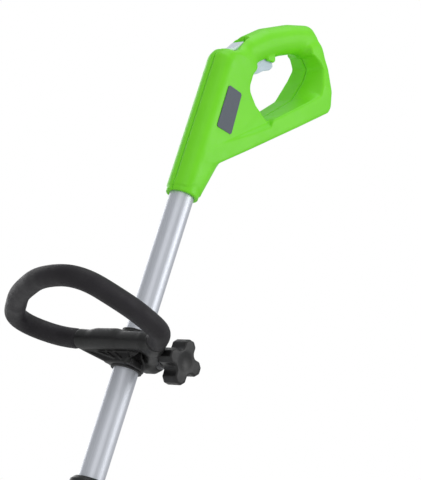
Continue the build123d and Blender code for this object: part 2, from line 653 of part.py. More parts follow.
def build():
    """Every node by name."""
    shell_left, shell_right = handle_shells()
    housing_left, housing_right = motor_housings()
    brushes, holders = brush_parts()
    rear_lead, front_lead = (swept(path, 2.6) for path in lead_paths())
    pin_x, pin_z = pivot_point()
    return {
        "handle_shell_left": shell_left,
        "handle_shell_right": shell_right,
        "handle_screws": screws_in(HANDLE_SCREWS, 14.0, 26),
        "handle_badges": badges(),
        "cord_inlet": cord_inlet(),
        "inlet_blades": inlet_blades(),
        "handle_leads": [rear_lead, front_lead],
        "trigger": trigger(),
        "trigger_pin": rod(TRIGGER_PIN_R, pin_x, pin_z, -12, 12),
        "trigger_spring": trigger_spring(),
        "switch_body": switch_body(),
        "switch_plunger": switch_plunger(),
        "lock_off_button": lock_off_button(),
        "lock_off_spring": lock_off_spring(),
        "upper_tube": ring(TUBE_R, TUBE_BORE_R, TUBE_END_Z, TUBE_TOP_Z),
        "coupler_base": coupler_base(),
        "collar_nut": collar_nut(),
        "collar_marks": collar_marks(),
        "collet": ring(16.8, LOWER_R + RUNNING, *COLLET_Z),
        "lower_tube": ring(LOWER_R, LOWER_BORE_R, LOWER_END_Z, LOWER_TOP_Z),
        "telescope_bush": telescope_bush(),
        "coiled_lead": ring(LEAD_R, 0, LEAD_END_Z, LEAD_TOP_Z),
        "assist_bracket": assist_bracket(),
        "clamp_liner": clamp_liner(),
        "loop_core": loop_tube(CORE_R, 8),
        "loop_grip": loop_tube(FOAM_R) - loop_tube(CORE_R, 2),
        "clamp_bolt": clamp_bolt(),
        "clamp_washer": rod(9, BOLT_X, BOLT_Z, -24.8, -23.3) - rod(BOLT_R + RUNNING, BOLT_X,
                                                                   BOLT_Z, -30, -20),
        "clamp_knob": clamp_knob(),
        "knob_insert": rod(6, BOLT_X, BOLT_Z, -57.5, -42) - rod(BOLT_R + RUNNING, BOLT_X,
                                                                BOLT_Z, -60, -40),
        "pivot_knuckle": pivot_knuckle(),
        "pivot_pin": pivot_pin(),
        "pivot_button": pivot_button(),
        "pivot_spring": pivot_spring(),
        "motor_housing_left": housing_left,
        "motor_housing_right": housing_right,
        "motor_base": in_head(motor_base()),
        "housing_screws": [in_head(s) for s in screws_in(housing_screw_places(), 24.0, 40)],
        "motor_stator": in_head(ring(43.5, 26, 76, 101)),
        "armature": in_head(armature()),
        "cooling_fan": in_head(cooling_fan()),
        "bearing_upper": in_head(ring(9, SHAFT_R + RUNNING, 115.5, 122)),
        "bearing_lower": in_head(ring(9, SHAFT_R + RUNNING, 51, 57.5)),
        "carbon_brushes": [in_head(b) for b in brushes],
        "brush_holders": [in_head(h) for h in holders],
        "spool_housing": in_head(spool_housing()),
        "spool": in_head(spool()),
        "wound_line": in_head(wound_line()),
        "spool_spring": in_head(spool_spring()),
        "cutting_line": in_head(radial_rod(LINE_R, 34, SWATH_R)),
        "line_eyelet": in_head(radial_rod(3.0, 42, 48) - radial_rod(LINE_R, 34, 50)),
        "spool_cap": in_head(spool_cap()),
        "guard": in_head(guard()),
        "cutoff_blade": in_head(cutoff_blade()),
        "guard_screws": [in_head(s) for s in guard_screws()],
        "wheel_bracket": in_head(wheel_bracket()),
        "wheel_axle": in_head(Pos(WHEEL_X, 0, 81) * Cylinder(3, 26)),
        "edge_wheel": in_head(edge_wheel()),
    }


os.makedirs("parts", exist_ok=True)
for name, shape in build().items():
    solids = shape if isinstance(shape, list) else [shape]
    export_step(Compound(children=[s for piece in solids for s in piece.solids()]),
                f"parts/{name}.step")
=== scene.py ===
import json
from math import atan2, cos, pi, radians, sin, tan

import bpy
import numpy as np
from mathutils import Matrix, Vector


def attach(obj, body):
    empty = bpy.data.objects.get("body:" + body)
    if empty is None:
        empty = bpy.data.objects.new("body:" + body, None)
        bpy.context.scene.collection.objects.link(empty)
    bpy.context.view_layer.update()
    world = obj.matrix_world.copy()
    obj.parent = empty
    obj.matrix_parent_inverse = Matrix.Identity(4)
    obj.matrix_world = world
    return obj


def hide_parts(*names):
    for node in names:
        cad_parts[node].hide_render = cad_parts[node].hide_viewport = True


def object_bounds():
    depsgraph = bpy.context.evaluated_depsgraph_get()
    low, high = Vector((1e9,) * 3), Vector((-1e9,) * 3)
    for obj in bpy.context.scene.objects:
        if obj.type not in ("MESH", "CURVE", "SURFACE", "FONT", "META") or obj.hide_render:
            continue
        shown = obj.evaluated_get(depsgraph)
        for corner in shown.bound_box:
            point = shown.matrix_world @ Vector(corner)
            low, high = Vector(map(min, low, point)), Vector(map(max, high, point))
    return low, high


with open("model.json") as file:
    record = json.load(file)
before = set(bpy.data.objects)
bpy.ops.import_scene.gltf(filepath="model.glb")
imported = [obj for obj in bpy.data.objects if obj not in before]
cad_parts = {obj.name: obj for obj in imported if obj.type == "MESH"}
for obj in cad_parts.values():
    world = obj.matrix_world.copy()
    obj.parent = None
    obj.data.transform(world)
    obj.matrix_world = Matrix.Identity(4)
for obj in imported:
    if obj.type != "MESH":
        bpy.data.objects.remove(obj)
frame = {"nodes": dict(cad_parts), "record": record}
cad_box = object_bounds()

import openvdb as vdb
from mathutils import Quaternion, Vector

# Corded string trimmer. Lengths here are millimetres in the frame of the model, and become
# metres when a mesh is made: +Z runs up the shaft to the rear handle, +X is the side that the
# D-shaped handle hangs on, and -Y is the clamp knob's side. Moulded parts are drawn as signed
# distances, negative inside, which are sampled on a grid and skinned.

MM = 0.001
BAND = 3.0              # grid steps to each side of a skin in which distance is kept
FLATNESS = 0.004        # how flat a stretch of skin is before its faces are merged
ARC_STEP = 0.04         # radians of turn in each step of an outline's arc

# Rear handle
COLUMN_W = 19.5
COLUMN_ROUND = 16.0
SOCKET_R = 18.5
SOCKET_Z = 84.0
SOCKET_TOP_Z = 150.0
COLUMN_Z = 90.0
TUBE_R = 14.0
GRIP_W = 17.0
GRIP_ROUND = 16.5
ARM_W = 27.0
WALL = 3.0
PARTING = 0.2
COLUMN = [(-18.5, 90), (-18.5, 256), (-10, 268), (2, 275), (26, 277), (50, 270), (95, 245),
          (70, 212), (36, 152), (28, 131), (18.5, 92), (18.5, 84), (-18.5, 84)]
COLUMN_CORNERS = [20, 10, 8, 6, 6, 6, 6, 6, 40, 40, 12, 2, 2]
WEB = [(8, 150), (8, 250), (33, 252), (46, 230), (88, 232), (80, 205), (40, 160)]
WEB_CORNERS = [4, 4, 4, 4, 4, 4, 4]
COLUMN_CROWN = 0.0018   # fall of the side faces per square of the distance from CROWN_X
CROWN_X = 8.0
WEB_W = 19.2            # the flat part beside the opening
WEB_EDGE = 3.0
ARM_EDGE = 3.5
HOOK_W = 12.5
HOOK_EDGE = 1.5
RIM_POWER = 1.3         # how late the opening widens towards the near shell's rim
GRIP_FILLET = 9.0       # where the grip runs into the column and the arm
ARM = [(17, 130), (163, 275), (165, 283), (158, 304), (147, 327), (126, 352), (109, 335),
       (118, 322), (118, 290), (80, 242), (70, 210), (25, 168), (-6, 138), (-6, 121)]
ARM_CORNERS = [6, 4, 10, 20, 20, 8, 3, 4, 4, 3, 6, 12, 4, 4]
ARM_BEVEL = ((-4.4, 138.9), (-0.685, 0.728), 0.8)   # point, normal and slope of its upper edge
ARM_BEVEL_END_X = 78.0
GRIP = [(-12, 256), (-8, 268.5), (2, 274), (12, 294), (38, 321), (75, 348), (108, 366),
        (124, 360), (140, 340), (131, 322), (118, 329), (101, 323), (78, 307), (57, 289),
        (40, 272), (26, 256)]
GRIP_CORNERS = [4, 4, 6, 8, 30, 60, 14, 10, 8, 5, 6, 20, 20, 20, 8, 4]
OPENING = [(40, 271), (32, 256), (32, 236), (50, 224), (75, 217), (122, 272), (131, 302),
           (131, 320), (118, 329), (101, 323), (78, 307), (57, 289)]
OPENING_CORNERS = [8, 14, 14, 14, 2, 14, 24, 6, 6, 20, 20, 20]
RIM = [(40, 271), (32, 256), (32, 236), (50, 224), (75, 217), (142, 287), (139, 323),
       (131, 328), (118, 329), (101, 323), (78, 307), (57, 289)]
RIM_CORNERS = [8, 14, 14, 14, 2, 6, 5, 3, 3, 20, 20, 20]
DIP = [(-6, 2), (2, -4.2), (13, -4.2), (22, 2), (22, 14), (-6, 14)]
DIP_CORNERS = [2, 5, 5, 6, 1, 1]
HOOK = [(54, 286), (59, 288), (62, 288.8), (64.5, 289.2), (66, 293), (62, 299), (52, 292)]
HOOK_CORNERS = [1, 6, 3, 0.8, 1.5, 2, 2]
ARM_PLAN_X = [-20, 17, 58, 122, 180]
ARM_PLAN_Y = [18.0, 20.0, 24.0, 27.0, 27.0]
ARM_BACK_Z = [300, 352]
ARM_BACK_Y = [27.0, 16.0]
HANDLE_SCREWS = [(-7, 232), (25, 190), (62, 190), (112, 240), (149, 318)]
SCREW_RECESS_R = 3.7
SCREW_RECESS_Y = 14.0
BOSS_WALL = 2.0         # plastic round each screw's recess
TRIGGER_ORIGIN = (40, 272)
TRIGGER_ANGLE = 41.0
TRIGGER_SLOT = [(-12, -14), (33, -14), (33, 4), (35.5, 9), (35.5, 12), (12, 15), (-4, 15),
                (-7, 4)]
LOCK_ORIGIN = (-8, 268)
LOCK_ANGLE = 39.0
LOCK_CHANNEL = [(-0.5, -4.5), (35.5, -4.5), (40, 18), (-0.5, 18)]
CONTROL_GAP = 8.5       # half width of the trigger's and the button's openings
INLET_MOUTH = (160.5, 291)
INLET_NORMAL = (0.97, 0.243)
INLET_SIZE = (40, 26)
INLET_DEPTH = 20.2
INLET_REACH = 12.0      # how far the recess is cut past its mouth
INLET_EDGE = 4.0
HANDLE_GRID = ((-24, -31, 79), (172, 1.2, 373), 1.1)    # from, to and pitch, near half

# Assist handle
LOOP_Z = -101.0
LOOP_TILT = 3.0
FOAM_R = 11.4
LOOP = [(57, 24), (85, 47), (92, 100), (83, 177), (20, 172), (-50, 133), (-124, 70),
        (-86, 28), (-58, 25)]
LOOP_CORNERS = [26, 120, 26, 120, 180, 28, 40]
SMOOTHINGS = 60         # passes that even out the bends of the foam
BAR = [(-57.9, 25), (-40, 23.2), (0, 22.6), (38, 22.4), (48, 17.2)]
BAR_R = 11.0
BAR_END_Y = 57.6
HUMP = ((-32, 22.8, 2.0), (-6, 22.6, 2.6))      # w, h and lift of its two ends
HUMP_R = 10.5
STUB = ((45, 15), (60, 26.5))
NECK = ((40, 10, -1), (22, -10, -3))
NECK_R = 9.5
LOOP_END = (-24, -57)   # x and y where the foam starts, and the loop's direction there
LOOP_END_WAY = (0.635, 0.773)
PINCH = 3.5             # length over which the foam is drawn in at each end
PINCH_DEPTH = 2.4
UNEVENNESS = 0.12
FOAM_STATIONS = 260
SLEEVE_R = 18.5
SLEEVE_TOP_Z = -83.0
SLEEVE_END_Z = -123.0
LINER_R = 15.25
RIB_X = -21.8           # ribs on the web's face, from and to a point (y, z)
RIBS = [((45, -108.7), (0.7, -118.7)), ((26.5, -106.5), (0.5, -119.1)),
        ((14, -106.7), (-10.3, -119.3)), ((-15.1, -108.4), (-21.4, -118.4))]
BOLT = (21.5, -104.0)   # x and z
BOLT_R = 3.2
LUGS = ((6, -23, -118), (30, 23, -90), 7)       # from, to and edge
LUG_BOSS = (11.5, 23.5, 2)                      # radius, half length and edge
SPLIT = ((5, -4, -140), (60, 4, -60))           # gap between the lugs
NUT_POCKET = (6.6, 17.5)                        # radius and floor in y
WEB_FACE = [(-56, -104), (-56, -110.5), (-14, SLEEVE_END_Z), (14, SLEEVE_END_Z), (26, -110),
            (26, -96), (-56, -96)]              # -y and z
FOOT = [(-24, SLEEVE_END_Z + 6), (-16, SLEEVE_END_Z), (18, SLEEVE_END_Z),
        (24, SLEEVE_END_Z - 1.5), (24, SLEEVE_END_Z + 7)]
RIB_R = 0.9
BRACKET_GRID = ((-48, -70, -130), (36, 62, -76), 1.0)
KNOB_R = 25.0
KNOB_FACE_Y = -41.0
KNOB_END_Y = -62.0
KNOB_ARM_W = 8.5
KNOB_ARM_CHAMFER = 5.0
KNOB_EDGE = 2.2
KNOB_CORE_R = 14.5
KNOB_DISH_R = 24.5      # ball that dishes the knob's face, and how far out its centre is
KNOB_DISH_OUT = 22.0
HUB_R = 8.2
HUB_END_Y = -30.0
KNOB_GRID = ((-8, -66, -134), (51, -27, -74), 0.8)

# ------------------------------------------------------------------ distances


def unit(v):
    return v / np.linalg.norm(v)


def rounded(points, corners, closed=True):
    """Outline with an arc at each corner, as a dense polyline."""
    points = np.array(points, float)
    count = len(points)
    if not closed:
        corners = [0, *corners, 0]
    out = []
    for i, radius in enumerate(corners):
        corner = points[i]
        if radius == 0:
            out.append(corner)
            continue
        back = unit(points[i - 1] - corner)
        on = unit(points[(i + 1) % count] - corner)
        turn = pi - np.arccos(np.clip(back @ on, -1, 1))
        if turn < ARC_STEP / 2:
            out.append(corner)
            continue
        centre = corner + unit(back + on) * radius / cos(turn / 2)
        start = corner + back * radius * tan(turn / 2) - centre
        end = corner + on * radius * tan(turn / 2) - centre
        steps = max(2, int(turn / ARC_STEP))
        for t in np.linspace(0, 1, steps + 1):
            out.append(centre + (start * sin((1 - t) * turn) + end * sin(t * turn)) / sin(turn))
    return np.array(out)


def outline_distance(outline, u, v):
    """Signed distance to a closed outline in a plane."""
    p = np.stack(np.broadcast_arrays(u, v), -1).astype(float)
    best = np.full(p.shape[:-1], 1e9)
    inside = np.zeros(p.shape[:-1], bool)
    for a, b in zip(outline, np.roll(outline, -1, 0)):
        edge = b - a
        if edge @ edge < 1e-12:
            continue
        w = p - a
        t = np.clip((w @ edge) / (edge @ edge), 0, 1)
        best = np.minimum(best, ((w - t[..., None] * edge) ** 2).sum(-1))
        crosses = (a[1] <= p[..., 1]) != (b[1] <= p[..., 1])
        if edge[1] != 0:
            inside ^= crosses & (p[..., 0] < a[0] + (p[..., 1] - a[1]) / edge[1] * edge[0])
    return np.where(inside, -1, 1) * np.sqrt(best)


def slab(flat, across, half, edge):
    """Outline extruded to both sides of its plane, with its edges rounded."""
    a = flat + edge
    b = np.abs(across) - half + edge
    return np.minimum(np.maximum(a, b), 0) + np.hypot(np.maximum(a, 0), np.maximum(b, 0)) - edge


def join(a, b, soft=0.0):
    """Union, with a fillet where the two meet."""
    if soft == 0:
        return np.minimum(a, b)
    h = np.maximum(soft - np.abs(a - b), 0) / soft
    return np.minimum(a, b) - h * h * soft / 4


def meet(a, b, soft=0.0):
    """Intersection, with a rounded edge."""
    return -join(-a, -b, soft)


def cut(a, b, soft=0.0):
    """What is left of a without b."""
    return meet(a, -b, soft)


def drum(r, h, radius, low, high, edge=0.0):
    """Round bar between two heights, from the distance to its axis and the height."""
    return slab(r - radius, h - (low + high) / 2, (high - low) / 2, edge)


def capsule(p, a, b, radius):
    """Round-ended bar between two points."""
    a, b = np.array(a, float), np.array(b, float)
    edge = b - a
    t = sum((x - o) * e for x, o, e in zip(p, a, edge)) / (edge @ edge)
    t = np.clip(t, 0, 1)
    return np.sqrt(sum((x - o - t * e) ** 2 for x, o, e in zip(p, a, edge))) - radius


def block(p, low, high, edge=0.0):
    """Box between two corners, with rounded edges."""
    q = [np.abs(x - (a + b) / 2) - (b - a) / 2 + edge for x, a, b in zip(p, low, high)]
    out = np.sqrt(sum(np.maximum(x, 0) ** 2 for x in q))
    return out + np.minimum(np.maximum(np.maximum(q[0], q[1]), q[2]), 0) - edge


def grid(low, high, pitch):
    """Coordinates of a grid over a box, as three arrays that broadcast."""
    axes = [np.arange(a, b + pitch, pitch) for a, b in zip(low, high)]
    return np.meshgrid(*axes, indexing="ij", sparse=True)


# ------------------------------------------------------------------ meshes


def make_piece(name, points, faces, body, slot, nodes=()):
    """Object from points in millimetres and faces, smooth, riding on a body."""
    mesh = bpy.data.meshes.new(name)
    mesh.from_pydata((np.asarray(points) * MM).tolist(), [], faces)
    mesh.validate()
    mesh.shade_smooth()
    piece = bpy.data.objects.new(name, mesh)
    bpy.context.scene.collection.objects.link(piece)
    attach(piece, body)
    if nodes:
        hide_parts(*nodes)
    mesh.materials.append(MATERIALS[slot])
    return piece


def skin(distance, low, pitch):
    """Points and faces of the surface where a sampled distance is zero."""
    volume = vdb.FloatGrid(BAND)
    volume.copyFromArray(np.clip(distance / pitch, -BAND, BAND).astype(np.float32))
    points, triangles, quads = volume.convertToPolygons(isovalue=0.0, adaptivity=FLATNESS)
    points = points * pitch + np.array(low)
    faces = [f[::-1] for f in triangles.tolist()] + [f[::-1] for f in quads.tolist()]
    return points, faces


def sweep(centre, radii, sides=40):
    """Points and faces of a closed round tube along a line of centres."""
    centre = np.asarray(centre, float)
    tangent = np.gradient(centre, axis=0)
    tangent /= np.linalg.norm(tangent, axis=1)[:, None]
    normal = unit(np.cross(tangent[0], (0.3, 0.2, 1.0)))
    points = []
    for c, t, r in zip(centre, tangent, radii):
        normal = unit(normal - (normal @ t) * t)
        other = np.cross(t, normal)
        for k in range(sides):
            a = 2 * pi * k / sides
            points.append(c + r * (cos(a) * normal + sin(a) * other))
    faces = []
    rings = len(centre)
    for i in range(rings - 1):
        for k in range(sides):
            n = (k + 1) % sides
            faces.append([i * sides + k, i * sides + n, (i + 1) * sides + n, (i + 1) * sides + k])
    faces.append(list(range(sides))[::-1])
    faces.append([(rings - 1) * sides + k for k in range(sides)])
    return points, faces


# ------------------------------------------------------------------ materials


class Look:
    """A Principled material built node by node."""

    def __init__(self, name):
        self.material = bpy.data.materials.new(name)
        self.material.use_nodes = True
        self.nodes = self.material.node_tree.nodes
        self.links = self.material.node_tree.links
        self.shader = self.nodes["Principled BSDF"]
        self.coords = self.nodes.new("ShaderNodeTexCoord").outputs["Object"]

    def set(self, **values):
        """Sets the shader's own sockets."""
        for name, value in values.items():
            self.shader.inputs[name.replace("_", " ")].default_value = value

    def stretched(self, scale):
        """Object coordinates scaled along each axis."""
        node = self.nodes.new("ShaderNodeMapping")
        node.inputs["Scale"].default_value = scale
        self.links.new(self.coords, node.inputs["Vector"])
        return node.outputs["Vector"]

    def noise(self, scale, detail=3.0, vector=None):
        """Noise from 0 to 1."""
        node = self.nodes.new("ShaderNodeTexNoise")
        node.inputs["Scale"].default_value = scale
        node.inputs["Detail"].default_value = detail
        self.links.new(vector or self.coords, node.inputs["Vector"])
        return node.outputs["Fac"]

    def cells(self, scale):
        """Distance to the nearest cell centre."""
        node = self.nodes.new("ShaderNodeTexVoronoi")
        node.inputs["Scale"].default_value = scale
        self.links.new(self.coords, node.inputs["Vector"])
        return node.outputs["Distance"]

    def ranged(self, value, low, high, new_low, new_high):
        """Maps a value from one range to another."""
        node = self.nodes.new("ShaderNodeMapRange")
        for key, number in zip(("From Min", "From Max", "To Min", "To Max"),
                               (low, high, new_low, new_high)):
            node.inputs[key].default_value = number
        self.links.new(value, node.inputs["Value"])
        return node.outputs["Result"]

    def blended(self, share, first, second):
        """Colour between two, each a colour or a socket."""
        node = self.nodes.new("ShaderNodeMix")
        node.data_type = "RGBA"
        self.links.new(share, node.inputs["Factor"])
        for socket, colour in ((node.inputs[6], first), (node.inputs[7], second)):
            if isinstance(colour, tuple):
                socket.default_value = (*colour, 1)
            else:
                self.links.new(colour, socket)
        return node.outputs[2]

    def edges(self, low, high):
        """Where the surface turns outwards sharply, from 0 to 1."""
        node = self.nodes.new("ShaderNodeNewGeometry")
        return self.ranged(node.outputs["Pointiness"], low, high, 0, 1)

    def paint(self, colour):
        """Uses a colour socket as the base colour."""
        self.links.new(colour, self.shader.inputs["Base Color"])

    def roughen(self, value):
        """Uses a value socket as the roughness."""
        self.links.new(value, self.shader.inputs["Roughness"])

    def emboss(self, height, depth, strength=1.0):
        """Bumps the surface by a height, depth in metres."""
        node = self.nodes.new("ShaderNodeBump")
        node.inputs["Strength"].default_value = strength
        node.inputs["Distance"].default_value = depth
        self.links.new(height, node.inputs["Height"])
        self.links.new(node.outputs["Normal"], self.shader.inputs["Normal"])


def moulded(name, colour, shade, edge_wear_and_highlight, rough, grain=900.0, depth=0.00006, blotch=30.0):
    """Moulded plastic: slight colour blotches, fine spark texture, and paler sharp edges that are
    partly wear and partly a painted highlight.
    """
    look = Look(name)
    base = look.blended(look.ranged(look.noise(blotch), 0.35, 0.65, 0, 1), colour, shade)
    # Sharp edges are painted towards a paler colour: partly wear, partly a painted highlight
    # standing in for light caught on the edges.
    look.paint(look.blended(look.edges(0.53, 0.60), base, edge_wear_and_highlight))
    look.roughen(look.ranged(look.noise(blotch * 4), 0.3, 0.7, rough - 0.05, rough + 0.06))
    look.emboss(look.noise(grain, 2.0), depth)
    return look


def green_shell():
    """Satin green shell plastic."""
    # The third colour paints the shell's sharp edges a paler green: partly wear, partly a painted
    # highlight.
    look = moulded("green_shell", (0.185, 0.76, 0.014), (0.200, 0.79, 0.018),
                   (0.27, 0.86, 0.06), 0.40, grain=1400.0, depth=0.00003)
    look.set(Specular_IOR_Level=0.32)
    return look.material


def black_plastic():
    """Spark-textured black plastic."""
    look = moulded("black_plastic", (0.0045, 0.0042, 0.0045), (0.0070, 0.0066, 0.0070),
                   (0.022, 0.021, 0.022), 0.42, grain=700.0, depth=0.00008)
    return look.material


def foam_rubber():
    """Closed-cell foam with fine pores."""
    look = Look("foam_rubber")
    cells = look.cells(1500.0)
    pores = look.ranged(cells, 0.0, 0.7, 0, 1)
    base = look.blended(pores, (0.0045, 0.0036, 0.0048), (0.010, 0.0078, 0.0110))
    look.paint(look.blended(look.ranged(look.noise(45.0), 0.4, 0.7, 0, 0.6), base,
                            (0.013, 0.0105, 0.015)))
    look.roughen(look.ranged(look.noise(60.0), 0.3, 0.7, 0.50, 0.64))
    look.emboss(cells, 0.0003, 0.6)
    look.set(Specular_IOR_Level=0.36)
    return look.material


def satin_tube():
    """Anodised aluminium drawn along the shaft."""
    look = Look("satin_tube")
    lines = look.noise(900.0, 3.0, look.stretched((1, 1, 0.012)))
    look.paint(look.blended(look.ranged(lines, 0.3, 0.7, 0, 1), (0.60, 0.62, 0.67),
                            (0.68, 0.70, 0.75)))
    look.roughen(look.ranged(lines, 0.3, 0.7, 0.40, 0.52))
    look.emboss(lines, 0.00003)
    look.set(Metallic=0.7)
    return look.material


def badge_face():
    """Plain dark satin label."""
    look = Look("badge_face")
    weave = look.noise(1300.0, 2.0, look.stretched((1, 1, 0.3)))
    look.paint(look.blended(look.ranged(weave, 0.35, 0.65, 0, 1), (0.055, 0.072, 0.095),
                            (0.070, 0.088, 0.115)))
    look.roughen(look.ranged(weave, 0.3, 0.7, 0.38, 0.5))
    look.emboss(weave, 0.00003)
    return look.material


def metal(name, colour, other, rough):
    """Bare metal with a fine swirl."""
    look = Look(name)
    swirl = look.noise(500.0, 4.0)
    look.paint(look.blended(look.ranged(swirl, 0.3, 0.7, 0, 1), colour, other))
    look.roughen(look.ranged(swirl, 0.3, 0.7, rough, rough + 0.15))
    look.emboss(swirl, 0.00003)
    look.set(Metallic=0.95)
    return look.material


def make_materials():
    """One material for each slot of the record."""
    return {
        "shell_green": green_shell(),
        "badge": badge_face(),
        "pale_control": moulded("pale_control", (0.56, 0.66, 0.76), (0.52, 0.62, 0.72),
                                (0.72, 0.80, 0.86), 0.34).material,
        "tube": satin_tube(),
        "black_plastic": black_plastic(),
        "foam": foam_rubber(),
        "liner_rubber": moulded("liner_rubber", (0.018, 0.018, 0.02), (0.026, 0.025, 0.027),
                                (0.04, 0.04, 0.04), 0.7).material,
        "mark": moulded("mark", (0.80, 0.85, 0.92), (0.74, 0.80, 0.88), (0.9, 0.93, 0.95),
                        0.4).material,
        "steel": metal("steel", (0.55, 0.55, 0.56), (0.46, 0.46, 0.48), 0.28),
        "brass": metal("brass", (0.72, 0.50, 0.20), (0.62, 0.42, 0.16), 0.25),
        "lead": moulded("lead", (0.014, 0.014, 0.015), (0.02, 0.02, 0.021),
                        (0.03, 0.03, 0.03), 0.5).material,
        "carbon": moulded("carbon", (0.02, 0.02, 0.02), (0.03, 0.03, 0.03),
                          (0.05, 0.05, 0.05), 0.6).material,
        "switch_part": moulded("switch_part", (0.42, 0.03, 0.025), (0.36, 0.025, 0.02),
                               (0.5, 0.08, 0.06), 0.4).material,
        "line": moulded("line", (0.10, 0.36, 0.03), (0.13, 0.42, 0.04), (0.2, 0.5, 0.08),
                        0.3).material,
    }


# ------------------------------------------------------------------ rear handle


def turned_into(x, z, origin, angle):
    """Plane coordinates in a frame with its own origin and slope."""
    c, s = cos(radians(angle)), sin(radians(angle))
    return (x - origin[0]) * c + (z - origin[1]) * s, (z - origin[1]) * c - (x - origin[0]) * s


def handle_distance(x, y, z, flared):
    """Outside of the handle; flared widens the opening towards the shell's rim."""
    crowned = COLUMN_W - COLUMN_CROWN * np.maximum(CROWN_X - x, 0) ** 2
    column = slab(outline_distance(rounded(COLUMN, COLUMN_CORNERS), x, z), y, crowned,
                  COLUMN_ROUND)
    web = slab(outline_distance(rounded(WEB, WEB_CORNERS), x, z), y, WEB_W, WEB_EDGE)
    r = np.hypot(x, y)
    socket = drum(r, z, SOCKET_R, SOCKET_Z, COLUMN_Z + 6, 1.2)
    body = join(meet(join(column, web, 1.2), COLUMN_Z - z, 1.0), socket, 1.0)
    opening = outline_distance(rounded(OPENING, OPENING_CORNERS), x, z)
    if flared:
        rim = outline_distance(rounded(RIM, RIM_CORNERS), x, z)
        share = np.clip(np.abs(y) / ARM_W, 0, 1) ** RIM_POWER
        opening = opening * (1 - share) + rim * share
    plan = np.minimum(np.interp(x, ARM_PLAN_X, ARM_PLAN_Y), np.interp(z, ARM_BACK_Z, ARM_BACK_Y))
    arm = slab(outline_distance(rounded(ARM, ARM_CORNERS), x, z), y, plan, ARM_EDGE)
    start, normal, slope = ARM_BEVEL
    bevel = (x - start[0]) * normal[0] + (z - start[1]) * normal[1]
    bevel = bevel + slope * (np.abs(y) - COLUMN_W)
    arm = cut(arm, np.maximum(-bevel, x - ARM_BEVEL_END_X), 1.5)
    arm = cut(arm, opening, 3)
    grip = slab(outline_distance(rounded(GRIP, GRIP_CORNERS), x, z), y, GRIP_W, GRIP_ROUND)
    hook = slab(outline_distance(rounded(HOOK, HOOK_CORNERS), x, z), y, HOOK_W, HOOK_EDGE)
    body = cut(body, opening, 2.0)
    body = join(body, arm, 2.0)
    body = join(body, grip, GRIP_FILLET)
    return join(body, hook, 2.5)


def handle_spaces(x, y, z):
    """Tube socket, trigger slot, lock-off channel and inlet recess."""
    tube = np.maximum(np.hypot(x, y) - TUBE_R, z - SOCKET_TOP_Z)
    u, v = turned_into(x, z, TRIGGER_ORIGIN, TRIGGER_ANGLE)
    slot = slab(outline_distance(np.array(TRIGGER_SLOT, float), u, v), y, CONTROL_GAP, 0.5)
    u, v = turned_into(x, z, LOCK_ORIGIN, LOCK_ANGLE)
    channel = slab(outline_distance(np.array(LOCK_CHANNEL, float), u, v), y, CONTROL_GAP, 0.5)
    angle = atan2(INLET_NORMAL[1], INLET_NORMAL[0])
    u, v = turned_into(x, z, INLET_MOUTH, angle * 180 / pi)
    wide, tall = INLET_SIZE[0] / 2, INLET_SIZE[1] / 2
    inlet = block((u, y, v), (-INLET_DEPTH, -wide, -tall), (INLET_REACH, wide, tall), INLET_EDGE)
    return tube, slot, channel, inlet


def handle_shells():
    """The two green mouldings, each a thin wall round a hollow."""
    low, high, pitch = HANDLE_GRID
    x, y, z = grid(low, high, pitch)
    tube, slot, channel, inlet = handle_spaces(x, y, z)
    u, v = turned_into(x, z, LOCK_ORIGIN, LOCK_ANGLE)
    dip = outline_distance(rounded(DIP, DIP_CORNERS), u, v)
    for name, side in (("left", 1), ("right", -1)):
        outside = handle_distance(x, y, z, side > 0)
        outside = cut(outside, dip, 2.5)
        outside = cut(outside, channel, 1.0)
        outside = cut(outside, slot, 0.8)
        outside = cut(outside, inlet, 1.0)
        cavity = outside + WALL
        for sx, sz in HANDLE_SCREWS:
            boss = np.hypot(x - sx, z - sz) - SCREW_RECESS_R - BOSS_WALL
            cavity = cut(cavity, boss, 1)
        shape = cut(outside, cavity, 0.5)
        shape = cut(shape, tube, 0.3)
        shape = meet(shape, y + PARTING, 0.4)
        if side < 0:
            for sx, sz in HANDLE_SCREWS:
                bore = np.hypot(x - sx, z - sz)
                shape = cut(shape, np.maximum(bore - SCREW_RECESS_R, y + SCREW_RECESS_Y), 0.5)
        points, faces = skin(shape, low, pitch)
        points[:, 1] *= side
        if side < 0:
            faces = [f[::-1] for f in faces]
        make_piece(f"green_shell_{name}", points, faces, "rear_handle", "shell_green",
                   [f"handle_shell_{name}"])


# ------------------------------------------------------------------ assist handle


def on_loop(w, h, lift=0.0):
    """Point of the loop's plane: w towards the knob, h away from the shaft."""
    c, s = cos(radians(LOOP_TILT)), sin(radians(LOOP_TILT))
    return np.array([-h * c, -w, LOOP_Z + h * s + lift])


def foam_grip():
    """Foam sleeve on the loop, pinched in at both ends and softly uneven."""
    line = rounded(LOOP, LOOP_CORNERS, closed=False)
    steps = np.linalg.norm(np.diff(line, axis=0), axis=1)
    along = np.concatenate([[0], np.cumsum(steps)])
    stations = np.linspace(0, along[-1], FOAM_STATIONS)
    ends = np.array([0, 0.25, 0.8, 1.8, PINCH])
    stations = np.concatenate([ends, stations[3:-3], along[-1] - ends[::-1]])
    w, h = (np.interp(stations, along, line[:, k]) for k in (0, 1))
    for _ in range(SMOOTHINGS):
        w[1:-1] += 0.5 * ((w[:-2] + w[2:]) / 2 - w[1:-1])
        h[1:-1] += 0.5 * ((h[:-2] + h[2:]) / 2 - h[1:-1])
    centre = [on_loop(*p) for p in zip(w, h)]
    near_end = np.minimum(stations, along[-1] - stations)
    edge = np.clip(1 - near_end / PINCH, 0, 1)
    radii = FOAM_R - PINCH_DEPTH * (1 - np.sqrt(1 - edge ** 2))
    radii -= UNEVENNESS * (1 + np.sin(stations / 21.0 + np.sin(stations / 47.0)))
    points, faces = sweep(centre, radii)
    piece = make_piece("foam_grip", points, faces, "assist_handle", "foam", ["loop_grip"])


